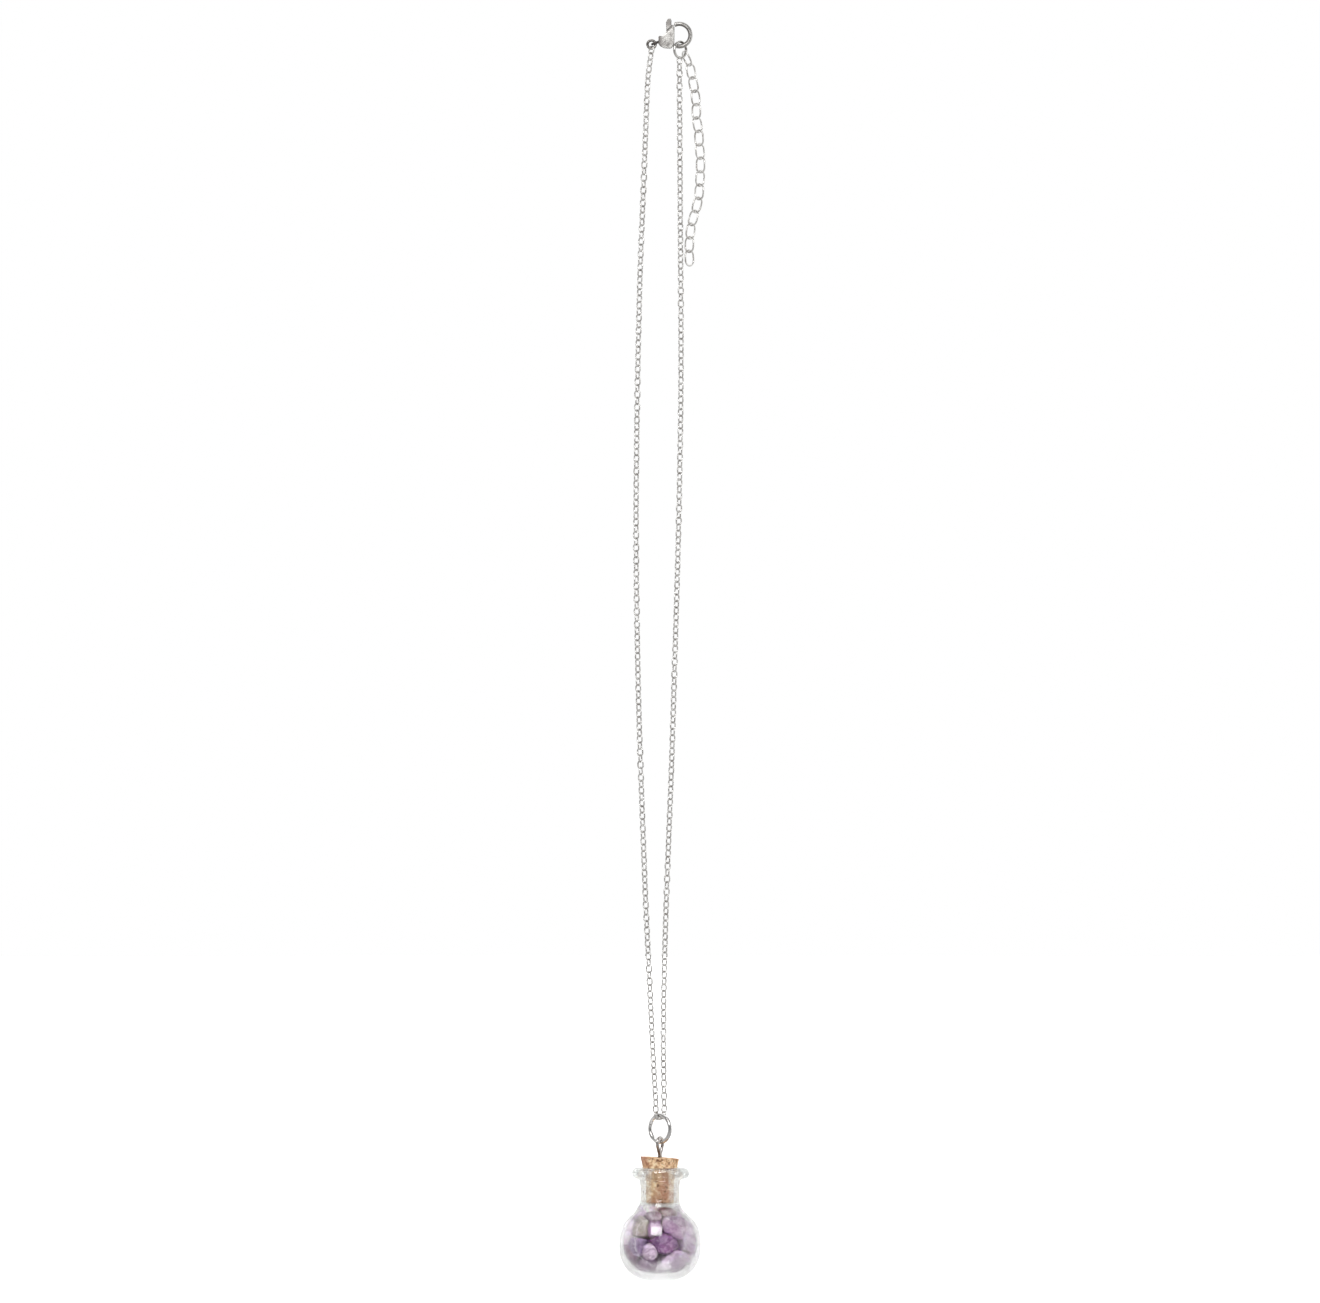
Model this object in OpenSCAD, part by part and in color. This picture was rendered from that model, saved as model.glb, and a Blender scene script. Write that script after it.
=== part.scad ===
/* [Chain] */
// Width over the links of the fine chain
chain_w = 1.4; // [1.2:0.1:1.6]
// Width of the chain where its lowest link lies flat under the pendant ring
chain_turn_w = 0.7; // [0.6:0.05:0.8]

/* [Extension chain] */
// Length of one link, over the wire
ext_link_l = 4; // [3.8:0.1:4.2]
// Width of one link, over the wire
ext_link_w = 3; // [2.8:0.1:3.2]
// Wire of the links
ext_wire = 0.4; // [0.36:0.02:0.42]

/* [Clasp] */
// Width over the round hook
hook_d = 6.2; // [6:0.1:6.4]
// Wire of the hook
hook_wire = 1; // [0.9:0.05:1]
// Thickness of the body across both cheeks
clasp_t = 1.6; // [1.5:0.1:1.7]
// Rivet that the trigger turns on
rivet_d = 0.8; // [0.7:0.05:0.9]

/* [Rings] */
// Jump ring on the tail of the clasp, over the wire
clasp_ring_d = 2.45; // [2.3:0.05:2.6]
// Ring that the clasp closes on, over the wire
end_ring_d = 4.3; // [4.25:0.05:4.4]
// Ring that carries the bottle, over the wire
pendant_ring_d = 7.2; // [6.8:0.1:7.6]
// Wire of the two small rings
ring_wire = 0.6; // [0.55:0.05:0.6]
// Wire of the ring that carries the bottle
pendant_ring_wire = 1; // [0.9:0.05:1.1]

/* [Screw eye] */
// Width over the eye
eye_w = 3.26; // [3:0.05:3.4]
// Wire of the eye and its shank
eye_wire = 0.76; // [0.7:0.02:0.8]
// Height of the eye above the cork, to the top of the wire
eye_h = 4.96; // [4.6:0.02:5.2]
// Length of the shank inside the cork
shank_l = 5; // [4:0.5:7]

/* [Cork] */
// Diameter of the top of the cork
cork_top_d = 8.9; // [8.6:0.1:9.2]
// Height of the whole cork
cork_h = 10.6; // [10:0.1:11]
// Height of the tapered head, above the mouth of the bottle
cork_head_h = 2.8; // [2.6:0.1:3]
// Slope of the sliced top
cork_slice = 3.3; // [0:0.1:4]

/* [Bottle] */
// Height of the bottle without its cork
bottle_h = 26.1; // [25.9:0.1:26.3]
// Diameter of the bulb
bulb_d = 18.9; // [18.7:0.1:19.1]
// Outer diameter of the neck
neck_d = 9.1; // [9:0.1:9.3]
// Bore of the neck
bore_d = 6.5; // [6.4:0.05:6.6]
// Outer diameter of the rolled lip
lip_d = 13; // [12.8:0.1:13.2]
// Thickness of the rolled lip
lip_t = 2.6; // [2.5:0.05:2.7]
// Wall of the bulb
wall = 0.9; // [0.8:0.05:1]
// Thickness of the floor
floor_t = 1.8; // [1.6:0.1:2]

/* [Stones] */
// Gap between neighbouring stones
stone_gap = 0.14; // [0.12:0.02:0.3]
// Seed for the stones out of sight at the back
stone_seed = 11; // [1:1:40]

/* [Hidden] */
fine = 48;
link_fine = 24;
fit_gap = 0.05;
hang_gap = 0.15;

// Route of the fine chain. Columns: height, left side across, right side across.
// Both sides bow a little, as the photograph shows them.
ROUTE = [[-8, -2.8, 4.5], [-20, -3.3, 4.55], [-35, -3.9, 4.65], [-50, -4.5, 4.75], [-65, -4.9, 4.85],
         [-80, -5.2, 4.8], [-95, -5.4, 4.6], [-110, -5.5, 4.3], [-125, -5.4, 3.9], [-140, -5.15, 3.45],
         [-155, -4.8, 3], [-170, -4.3, 2.5], [-185, -3.75, 1.9], [-200, -3.15, 1.35], [-215, -2.4, 0.95],
         [-230, -1.7, 0.8]];
left_top = [-2.15, -1.2];
right_top = [4.5, -3.25];
chain_sides = 8;
span_steps = 2;

// The turn under the pendant ring, and the arms above it.
// Columns: distance from the middle of the turn, height above its lowest point, width.
turn_z = -246.9;
turn_yaw = 47;
turn_r = chain_turn_w / 2 + hang_gap + pendant_ring_wire / 2;
turn_steps = 3;
ARM = [[1.12, 1.8, chain_turn_w], [1.3, 2.7, 0.9], [1.42, 4.2, 1.25]];
spread_from = -205;

// Pendant ring and screw eye, from the chain down
ring_r = (pendant_ring_d - pendant_ring_wire) / 2;
ring_z = turn_z + turn_r - ring_r;
ring_low_z = ring_z - ring_r;
ring_yaw = turn_yaw - 90;
eye_yaw = 58;
eye_r = (eye_w - eye_wire) / 2;
eye_top_z = ring_low_z + (pendant_ring_wire + eye_wire) / 2 + hang_gap;
eye_c = eye_top_z - eye_r;
cork_z = eye_top_z + eye_wire / 2 - eye_h;
eye_foot_z = cork_z + 0.35;
eye_drop = eye_c - eye_foot_z;
eye_lean = asin(eye_r / eye_drop);
shank_tip_l = 1;
eye_knot_d = 1.3 * eye_wire;
eye_bend_d = 1.08 * eye_wire;
pilot_gap = 0.04;

// Bottle. Heights are above its base.
cork_out = 2.3;
base_z = cork_z - cork_out - bottle_h;
bulb_r = bulb_d / 2;
bulb_c = 8.9;
foot_r = 7.4;
neck_r = neck_d / 2;
bore_r = bore_d / 2;
fillet_r = 1.5;
fillet_x = neck_r + fillet_r;
fillet_c = bulb_c + sqrt(pow(bulb_r + fillet_r, 2) - pow(fillet_x, 2));
lip_r = lip_t / 2;
lip_c = bottle_h - lip_r;
funnel_h = 2.7;
funnel_r = 4.45;
cave_r = bulb_r - wall;
inner_fillet_r = 1.2;
inner_x = bore_r + inner_fillet_r;
inner_c = bulb_c + sqrt(pow(cave_r + inner_fillet_r, 2) - pow(inner_x, 2));
cave_foot_r = 6.5;
cave_foot_c = floor_t + cave_foot_r;
cork_rim_r = 3.9;
cork_shoulder_h = 1.7;
cork_chamfer = 0.4;
cork_spare = 0.05;

// Clasp, seen from the front, with the tail at the left and the hook at the right
clasp_ring_r = (clasp_ring_d - ring_wire) / 2;
clasp_ring_x = -1.95;
clasp_ring_z = 0.35;
tail_lean = 20;
tail_r = 0.74;
tail_wire = 0.56;
tail_x = clasp_ring_x + clasp_ring_r * cos(tail_lean);
tail_z = clasp_ring_z + clasp_ring_r * sin(tail_lean);
hook_r = (hook_d - hook_wire) / 2;
hook_x = 4.4;
hook_z = 2.5;
hook_from = -125;
hook_to = 104;
tip_d = hook_wire + 0.1;
CHEEK = [[-0.35, 0.6], [0, 0], [0.9, -0.5], [2.2, -0.62], [2.7, -0.5], [3.3, 0.5], [3.3, 3.3],
         [2.9, 4.1], [0.75, 2.4], [-0.35, 1.55]];
knob_x = 0.05;
knob_z = 1.9;
knob_r = 0.42;
slot_t = 0.8;
SLOT = [[0.75, -0.05], [3.6, -0.05], [3.6, 6], [0.2, 6], [0.2, 1.9], [0.55, 1.2]];
lever_t = 0.68;
lever_x = 1.5;
lever_z = 0.6;
lever_hub_r = 0.56;
LEVER = [[0.97, 0.8], [1.45, 3.5], [2.7, 4.85], [3.1, 4.85], [3.33, 4.3], [3.33, 1.2], [2, 0.4]];
tab_t = 1.3;
TAB = [[1.45, 3.5], [1.38, 5.5], [1.8, 6.2], [2.4, 6.3], [2.65, 5.8], [2.6, 4.4]];
rivet_head_t = 0.12;
rivet_head_r = 0.55;
rivet_gap = 0.03;

// Ring that the clasp closes on. It hangs round the foot of the hook, turned to pass it.
end_ring_r = (end_ring_d - ring_wire) / 2;
end_ring_yaw = 44;
end_ring_x = 4.65;
end_ring_gap = 0.25;
end_ring_z = hook_z - hook_r + (hook_wire + ring_wire) / 2 + end_ring_gap - end_ring_r;

// Extension chain. The list gives the lean of each link from straight down.
EXT_LEAN = [26, 10, 12, 6, 0, 10, 3, 5, 0, -4, -3, -16, -16, -8, -2, 2];
ext_clear = 0.1;
ext_pitch = ext_link_l - 2 * ext_wire - ext_clear;
ext_roll = 45;
ext_first_roll = -62;
ext_seat = -35;
ext_hold = ext_pitch / 2 - ext_link_l / 2 + ext_wire + ring_wire / 2 + 3 * ext_clear;
ext_top = [end_ring_x, 0, end_ring_z]
    + end_ring_r * [cos(ext_seat) * cos(end_ring_yaw), cos(ext_seat) * sin(end_ring_yaw), sin(ext_seat)]
    - ext_hold * [sin(EXT_LEAN[0]), 0, -cos(EXT_LEAN[0])];

// Stones that show at the front.
// Columns: across, depth, height above the base, half width, half height, lean.
FRONT = [[-4.1, -4.6, 12.3, 1.5, 2.6, -8], [-6.6, -1.8, 11.2, 1.6, 2.9, 10],
         [-1.3, -4.3, 14.6, 1.9, 1.1, 0], [-1.1, -6, 11.9, 1.4, 1.5, 0],
         [2.7, -5.2, 12, 2.3, 2.4, 10], [6.4, -2.8, 10, 1.8, 2.9, 12],
         [0.8, -5.8, 8.9, 4, 1.7, -4], [-4.7, -5, 8.3, 1.6, 1.8, 20],
         [-2.2, -6.9, 7.1, 1.35, 1.35, 10], [-6.1, -2.8, 5.8, 2, 2.3, -20],
         [-3, -4.2, 3.9, 2, 1.5, 10], [3.3, -5, 5.2, 3.1, 1.6, -12],
         [4.2, -2.6, 3.1, 1.9, 1.2, -15], [6.8, -0.8, 5.6, 1.6, 2.1, 20],
         [1.5, -2.9, 15.6, 1.6, 1.9, -10], [-4.1, -0.8, 14.8, 1.6, 1.5, 30],
         [-1.7, -1.4, 16.4, 1.7, 1.2, 0]];
// Stones behind them, in part rings round the back of the bulb.
// Columns: height above the base, ring radius, number, half width, half height, turn.
BEHIND = [[4.2, 4.9, 4, 2, 1.8, 14], [8.2, 6.4, 5, 2, 2, 4], [12.1, 5.7, 4, 2, 2, 20],
          [14.9, 3.5, 3, 1.7, 1.5, 0], [8.4, 2.2, 2, 1.8, 2, -14], [12.2, 1.2, 1, 2, 2, 0],
          [4.4, 0.6, 1, 2, 1.8, 0]];
stone_rings = 6;
stone_sides = 12;
jitter = 0.4;
swell = 1.42;
search_steps = 9;
graze = 0.05;
behind_lean = 3;
stone_turn = 40;
stone_top = bottle_h + cork_out - cork_h - stone_gap;
STONE_COLORS = ["thistle", "plum", "mediumpurple"];

// Plain geometry
function unit(v) = v / norm(v);
function plan(yaw) = [cos(yaw), sin(yaw), 0];
function turned(p, a) = [p[0] * cos(a) - p[1] * sin(a), p[0] * sin(a) + p[1] * cos(a)];

// Point at share u between b and c on a smooth curve through a, b, c and d
function curve(a, b, c, d, u) =
    0.5 * (2 * b + (c - a) * u + (2 * a - 5 * b + 4 * c - d) * pow(u, 2)
           + (3 * b - a - 3 * c + d) * pow(u, 3));
function smooth(points, steps) = let (n = len(points) - 1) concat(
    [for (i = [0 : n - 1]) for (k = [0 : steps - 1])
        curve(points[max(i - 1, 0)], points[i], points[i + 1], points[min(i + 2, n)], k / steps)],
    [points[n]]);

// One side of the fine chain as [x, y, z, width]. The sides part in depth towards the turn,
// the left one to the front, so that the chain passes through the ring.
arm_top = ARM[len(ARM) - 1];
function side_x(row, side) = side < 0 ? row[1] : row[2];
function spread(z) = lookup(z, [[turn_z + arm_top[1], 1], [spread_from, 0]]);
function arm_point(side, row) = concat(side * row[0] * plan(turn_yaw) + [0, 0, turn_z + row[1]], row[2]);
function side_rows(side, top) = concat(
    [[top[0], 0, top[1], chain_w]],
    [for (row = ROUTE)
        [side_x(row, side), side * spread(row[0]) * arm_top[0] * sin(turn_yaw), row[0], chain_w]],
    [arm_point(side, arm_top)]);
function turn_rows(side) = concat(
    [for (i = [len(ARM) - 2 : -1 : 0]) arm_point(side, ARM[i])],
    [for (i = [turn_steps : -1 : 0]) let (a = 90 * i / turn_steps)
        arm_point(side, [turn_r * sin(a), turn_r * (1 - cos(a)), chain_turn_w])]);
function chain_rows(side, top) = concat(smooth(side_rows(side, top), span_steps), turn_rows(side));

function place(row) = [row[0], row[1], row[2]];
function heading(rows, i, side) = i == len(rows) - 1
    ? -side * plan(turn_yaw)
    : unit(place(rows[i + 1]) - place(rows[max(i - 1, 0)]));
function tube_ring(row, along) = let (n = unit(cross(along, plan(ring_yaw))), m = cross(n, along))
    [for (k = [0 : chain_sides - 1]) let (a = 360 * (k + 0.5) / chain_sides)
        place(row) + row[3] / 2 * (cos(a) * n + sin(a) * m)];

module tube(rows, side) {
    n = chain_sides;
    last = len(rows) - 1;
    points = [for (i = [0 : last]) each tube_ring(rows[i], heading(rows, i, side))];
    walls = [for (i = [0 : last - 1]) for (k = [0 : n - 1])
        let (a = i * n + k, b = i * n + (k + 1) % n) each [[a, b, b + n], [a, b + n, a + n]]];
    first_cap = [for (k = [n - 1 : -1 : 0]) k];
    last_cap = [for (k = [0 : n - 1]) last * n + k];
    polyhedron(points, concat(walls, [first_cap, last_cap]));
}

module chain_left() color("silver") tube(chain_rows(-1, left_top), -1);
module chain_right() color("silver") tube(chain_rows(1, right_top), 1);

// Round wire bent into a ring, lying flat
module wire_ring(r, wire) rotate_extrude($fn = fine) translate([r, 0]) circle(d = wire, $fn = fine);
// The same standing up, facing along Y
module standing_ring(r, wire) rotate([90, 0, 0]) wire_ring(r, wire);

// Flat outline seen from the front, made t thick
module slab(outline, t) rotate([90, 0, 0]) linear_extrude(t, center = true) polygon(outline);
module pin_at(x, z, d, l)
    translate([x, 0, z]) rotate([90, 0, 0]) cylinder(d = d, h = l, center = true, $fn = fine);

module clasp_ring() color("silver")
    translate([clasp_ring_x, 0, clasp_ring_z]) standing_ring(clasp_ring_r, ring_wire);

module hook() {
    translate([hook_x, 0, hook_z]) {
        rotate([90, 0, 0]) rotate([0, 0, hook_from])
            rotate_extrude(angle = hook_to - hook_from, $fn = fine)
                translate([hook_r, 0]) circle(d = hook_wire, $fn = fine);
        translate(hook_r * [cos(hook_to), 0, sin(hook_to)]) sphere(d = tip_d, $fn = fine);
    }
}

module clasp_body() color("silver") difference() {
    union() {
        hook();
        slab(CHEEK, clasp_t);
        pin_at(knob_x, knob_z, 2 * knob_r, clasp_t);
        translate([tail_x, 0, tail_z]) rotate([0, -tail_lean, 0]) wire_ring(tail_r, tail_wire);
    }
    slab(SLOT, slot_t);
    pin_at(lever_x, lever_z, rivet_d + 2 * fit_gap, 2 * clasp_t);
}

module clasp_lever() color("silver") difference() {
    union() {
        slab(LEVER, lever_t);
        slab(TAB, tab_t);
        pin_at(lever_x, lever_z, 2 * lever_hub_r, lever_t);
    }
    pin_at(lever_x, lever_z, rivet_d + 2 * fit_gap, 2 * clasp_t);
}

module clasp_pin() color("gray") {
    reach = clasp_t / 2 + rivet_gap + rivet_head_t;
    pin_at(lever_x, lever_z, rivet_d, 2 * reach);
    for (side = [-1, 1]) translate([0, side * (reach - rivet_head_t / 2), 0])
        pin_at(lever_x, lever_z, 2 * rivet_head_r, rivet_head_t);
}

module end_ring() color("silver")
    translate([end_ring_x, 0, end_ring_z]) rotate([0, 0, end_ring_yaw])
        standing_ring(end_ring_r, ring_wire);

// One long link, upright and facing along Y
module long_link() {
    bend = (ext_link_w - ext_wire) / 2;
    straight = ext_link_l - ext_link_w;
    for (up = [0, 180]) rotate([0, up, 0]) {
        translate([0, 0, straight / 2]) rotate([90, 0, 0])
            rotate_extrude(angle = 180, $fn = fine)
                translate([bend, 0]) circle(d = ext_wire, $fn = link_fine);
        translate([bend, 0, 0]) cylinder(d = ext_wire, h = straight, center = true, $fn = link_fine);
    }
}

function ext_way(i) = let (a = EXT_LEAN[i]) ext_pitch * [sin(a), 0, -cos(a)];
function ext_turn(i) = i == 0 ? ext_first_roll : i % 2 == 0 ? -ext_roll : ext_roll;
function ext_joint(i) = i == 0 ? ext_top : ext_joint(i - 1) + ext_way(i - 1);

module extension_chain() color("silver") for (i = [0 : len(EXT_LEAN) - 1])
    translate(ext_joint(i) + ext_way(i) / 2) rotate([0, -EXT_LEAN[i], 0])
        rotate([0, 0, ext_turn(i)]) long_link();

module pendant_ring() color("silver")
    translate([0, 0, ring_z]) rotate([0, 0, ring_yaw]) standing_ring(ring_r, pendant_ring_wire);

// Eye bent from one wire: a round head, two sides that close on the cork, and a pointed shank
module screw_eye() color("silver") rotate([0, 0, eye_yaw]) {
    translate([0, 0, eye_c]) rotate([90, 0, 0]) rotate([0, 0, -eye_lean])
        rotate_extrude(angle = 180 + 2 * eye_lean, $fn = fine)
            translate([eye_r, 0]) circle(d = eye_wire, $fn = fine);
    translate([0, 0, eye_foot_z]) {
        for (a = [-eye_lean, eye_lean]) rotate([0, a, 0]) {
            cylinder(d = eye_wire, h = eye_drop * cos(eye_lean), $fn = fine);
            translate([0, 0, eye_drop * cos(eye_lean)]) sphere(d = eye_bend_d, $fn = fine);
        }
        sphere(d = eye_knot_d, $fn = fine);
    }
    translate([0, 0, cork_z - shank_l]) rotate_extrude($fn = fine) polygon([
        [0, 0], [eye_wire / 8, 0], [eye_wire / 2, shank_tip_l],
        [eye_wire / 2, eye_foot_z - cork_z + shank_l], [0, eye_foot_z - cork_z + shank_l]]);
}

// Cork: squeezed by the neck below, swollen above the mouth, and sliced off a little aslant
module cork() color("burlywood") {
    top = cork_top_d / 2;
    slope = (top - cork_rim_r) / cork_head_h;
    rise = top * tan(cork_slice) + cork_spare;
    shaft = bore_r - fit_gap;
    difference() {
        translate([0, 0, cork_z]) rotate_extrude($fn = fine) polygon([
            [0, rise], [top + slope * rise, rise], [cork_rim_r, -cork_head_h],
            [shaft, -cork_head_h - cork_shoulder_h], [shaft, cork_chamfer - cork_h],
            [shaft - cork_chamfer, -cork_h], [0, -cork_h]]);
        translate([0, 0, cork_z]) rotate([0, cork_slice, 0])
            translate([-bulb_d, -bulb_d, 0]) cube([2 * bulb_d, 2 * bulb_d, bulb_d]);
        translate([0, 0, cork_z - shank_l - pilot_gap])
            cylinder(d = eye_wire + 2 * pilot_gap, h = shank_l + cork_h, $fn = fine);
    }
}

// Half outline of a blown bulb: a ball above, and below it a rounder foot with a flat base
module bulb_outline(r, c, foot, foot_c, floor) {
    intersection() {
        translate([0, c]) circle(r, $fn = fine);
        translate([0, c]) square([r, r]);
    }
    translate([0, foot_c]) square([r, c - foot_c]);
    intersection() {
        translate([r - foot, foot_c]) circle(foot, $fn = fine);
        translate([0, floor]) square([r, foot_c - floor]);
    }
    translate([0, floor]) square([r - foot, foot_c - floor]);
}

// The flare where a neck runs into the bulb, rounded to radius r about x, c
module flare_outline(x, c, r) difference() {
    polygon([[0, bulb_c], [x, c], [0, c]]);
    translate([x, c]) circle(r, $fn = fine);
}

module bottle_outline() {
    difference() {
        union() {
            bulb_outline(bulb_r, bulb_c, foot_r, foot_r, 0);
            flare_outline(fillet_x, fillet_c, fillet_r);
            translate([0, bulb_c]) square([neck_r, lip_c - bulb_c]);
            translate([lip_d / 2 - lip_r, lip_c]) circle(lip_r, $fn = fine);
        }
        bulb_outline(cave_r, bulb_c, cave_foot_r, cave_foot_c, floor_t);
        flare_outline(inner_x, inner_c, inner_fillet_r);
        translate([0, bulb_c]) square([bore_r, bottle_h]);
        polygon([[0, bottle_h - funnel_h], [bore_r, bottle_h - funnel_h],
                 [funnel_r, bottle_h], [funnel_r, bottle_h + 1], [0, bottle_h + 1]]);
    }
}

module bottle() color("lightcyan", 0.4)
    translate([0, 0, base_z]) rotate_extrude($fn = fine) bottle_outline();

// Each stone: [seat above the base, half width, half height, lean]
behind_seats = [for (r = BEHIND) for (k = [0 : r[2] - 1]) let (a = r[5] + 180 * (k + 0.5) / r[2])
    [[r[1] * cos(a), r[1] * sin(a), r[0]], r[3], r[4], behind_lean * a]];
shifts = rands(-jitter, jitter, 3 * len(behind_seats), stone_seed);
function shift(i) = [shifts[3 * i], shifts[3 * i + 1], shifts[3 * i + 2]];
STONES = concat(
    [for (s = FRONT) [[s[0], s[1], s[2]], s[3], s[4], s[5]]],
    [for (i = [0 : len(behind_seats) - 1]) let (s = behind_seats[i]) [s[0] + shift(i), s[1], s[2], s[3]]]);

// Room inside the bulb at a height above the base
function cave_at(h) = h < cave_foot_c
    ? cave_r - cave_foot_r + sqrt(max(pow(cave_foot_r, 2) - pow(cave_foot_c - h, 2), 0))
    : sqrt(max(pow(cave_r, 2) - pow(max(h - bulb_c, 0), 2), 0));
function in_cave(p) = norm([p[0], p[1]]) < cave_at(p[2]) - stone_gap
    && p[2] > floor_t + stone_gap && p[2] < stone_top;
function wall_reach(from, way, low, high, steps) = steps == 0 ? low
    : let (mid = (low + high) / 2) in_cave(from + mid * way)
        ? wall_reach(from, way, mid, high, steps - 1)
        : wall_reach(from, way, low, mid, steps - 1);

// Neighbours share the space between them in the ratio of their sizes
function stone_size(i) = (STONES[i][1] + STONES[i][2]) / 2;
function neighbour_reach(i, j, way) =
    let (gap = STONES[j][0] - STONES[i][0], share = stone_size(i) / (stone_size(i) + stone_size(j)),
         facing = way * unit(gap))
    facing > graze ? (share * norm(gap) - stone_gap / 2) / facing : bulb_d;
function own_reach(i, way) = let (s = STONES[i], w = turned([way[0], way[2]], -s[3]))
    swell / norm([w[0] / s[1], way[1] / s[1], w[1] / s[2]]);
function reach(i, way) = min(
    own_reach(i, way),
    wall_reach(STONES[i][0], way, 0, bulb_r, search_steps),
    min([for (j = [0 : len(STONES) - 1]) if (j != i) neighbour_reach(i, j, way)]));

// A closed shell of facets round the seat, from the bottom point up to the top point
module stone(i) {
    n = stone_sides;
    ways = concat([[0, 0, -1]],
        [for (r = [1 : stone_rings]) for (k = [0 : n - 1])
            let (tilt = 180 * r / (stone_rings + 1) - 90, a = 360 * (k + r / 2) / n + stone_turn * i)
            [cos(tilt) * cos(a), cos(tilt) * sin(a), sin(tilt)]],
        [[0, 0, 1]]);
    top = stone_rings * n + 1;
    foot_fan = [for (k = [0 : n - 1]) [0, 1 + k, 1 + (k + 1) % n]];
    bands = [for (r = [0 : stone_rings - 2]) for (k = [0 : n - 1])
        let (a = 1 + r * n + k, b = 1 + r * n + (k + 1) % n) each [[a, a + n, b], [b, a + n, b + n]]];
    top_fan = [for (k = [0 : n - 1]) [top, top - n + (k + 1) % n, top - n + k]];
    color(STONE_COLORS[i % len(STONE_COLORS)])
        translate([0, 0, base_z] + STONES[i][0])
            polyhedron([for (w = ways) reach(i, w) * w], concat(foot_fan, bands, top_fan));
}

function stone_name(i) = str("stone_", i < 9 ? "0" : "", i + 1);

chain_left();
chain_right();
clasp_ring();
clasp_body();
clasp_lever();
clasp_pin();
end_ring();
extension_chain();
pendant_ring();
screw_eye();
cork();
bottle();
for (i = [0 : len(STONES) - 1])
    stone(i);
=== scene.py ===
import math

import bpy
from mathutils import Matrix, Vector


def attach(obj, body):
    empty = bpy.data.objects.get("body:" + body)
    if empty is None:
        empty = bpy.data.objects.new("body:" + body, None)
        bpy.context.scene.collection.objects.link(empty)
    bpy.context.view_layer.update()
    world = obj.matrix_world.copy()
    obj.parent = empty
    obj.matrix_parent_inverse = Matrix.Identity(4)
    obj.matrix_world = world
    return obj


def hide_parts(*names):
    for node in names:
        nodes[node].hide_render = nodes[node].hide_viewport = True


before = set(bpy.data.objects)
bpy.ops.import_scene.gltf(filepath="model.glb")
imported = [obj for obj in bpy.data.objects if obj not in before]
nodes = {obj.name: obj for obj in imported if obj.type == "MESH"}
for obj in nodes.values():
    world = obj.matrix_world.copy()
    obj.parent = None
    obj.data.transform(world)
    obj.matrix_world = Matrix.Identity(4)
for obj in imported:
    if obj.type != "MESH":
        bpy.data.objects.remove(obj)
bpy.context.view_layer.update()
# The nodes come in selected, and an operator works on all that is selected
bpy.ops.object.select_all(action="DESELECT")

# Jump rings. Round silver-plated wire bent to a ring, with its two cut ends pressed
# together: one through the tail of the clasp, one that the clasp closes on, and the
# large one that carries the bottle.
MM = 0.001
RING_WIRE = 0.6 * MM
CUT_GAP = 0.04 * MM
CUT_WORN = 0.03 * MM
END_RING_R = 1.85 * MM
END_RING_AT = Vector((4.65, 0, -0.9)) * MM
END_RING_YAW = 44


def pick(piece):
    """Selects one piece and nothing else"""
    bpy.ops.object.select_all(action="DESELECT")
    piece.select_set(True)
    bpy.context.view_layer.objects.active = piece


def apply_place(piece):
    """Leaves the piece's object at the origin, with its place in its mesh"""
    pick(piece)
    bpy.ops.object.transform_apply(location=True, rotation=True, scale=True)


def smooth(piece, degrees):
    """Shades a piece smooth over the edges that bend less than this"""
    pick(piece)
    bpy.ops.object.shade_smooth_by_angle(angle=math.radians(degrees))


def bent_ring(name, radius, wire, centre, yaw, cut_at):
    """A ring of round wire that stands upright; radius is to the middle of the wire"""
    bpy.ops.mesh.primitive_circle_add(
        vertices=20, radius=wire / 2, fill_type="NGON",
        location=(radius, 0, 0), rotation=(math.pi / 2, 0, 0))
    ring = bpy.context.object
    ring.name = name
    apply_place(ring)
    bpy.ops.object.mode_set(mode="EDIT")
    bpy.ops.mesh.select_all(action="SELECT")
    bpy.ops.mesh.spin(steps=72, angle=2 * math.pi - CUT_GAP / radius, center=(0, 0, 0), axis=(0, 0, 1))
    bpy.ops.mesh.select_all(action="SELECT")
    bpy.ops.mesh.normals_make_consistent(inside=False)
    bpy.ops.object.mode_set(mode="OBJECT")
    ring.data.transform(Matrix.Rotation(math.radians(cut_at), 4, "Z"))
    ring.rotation_euler = (math.pi / 2, 0, math.radians(yaw))
    ring.location = centre
    apply_place(ring)
    bevel = ring.modifiers.new("worn ends", "BEVEL")
    bevel.width, bevel.segments, bevel.angle_limit = CUT_WORN, 2, math.radians(50)
    bpy.ops.object.modifier_apply(modifier=bevel.name)
    smooth(ring, 40)
    return ring


def tree_of(material):
    """The nodes of a new material, and its Principled shader"""
    material.use_nodes = True
    tree = material.node_tree
    return tree, tree.nodes["Principled BSDF"]


def wire_up(tree, kind, inputs=(), **settings):
    """Adds a node, sets its named properties, and fills or links its inputs"""
    node = tree.nodes.new(kind)
    for key, value in settings.items():
        setattr(node, key, value)
    for key, value in dict(inputs).items():
        if isinstance(value, bpy.types.NodeSocket):
            tree.links.new(value, node.inputs[key])
        else:
            node.inputs[key].default_value = value
    return node


def combine(tree, a, b, operation):
    """Two values put together by an operation of the Math node"""
    return wire_up(tree, "ShaderNodeMath", {0: a, 1: b}, operation=operation).outputs[0]


def between(tree, value, low, high, least=0, most=1):
    """Least where the value is low, most where it is high, and even steps between"""
    node = wire_up(tree, "ShaderNodeMapRange", {
        "Value": value, "From Min": low, "From Max": high, "To Min": least, "To Max": most})
    return node.outputs["Result"]


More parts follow.
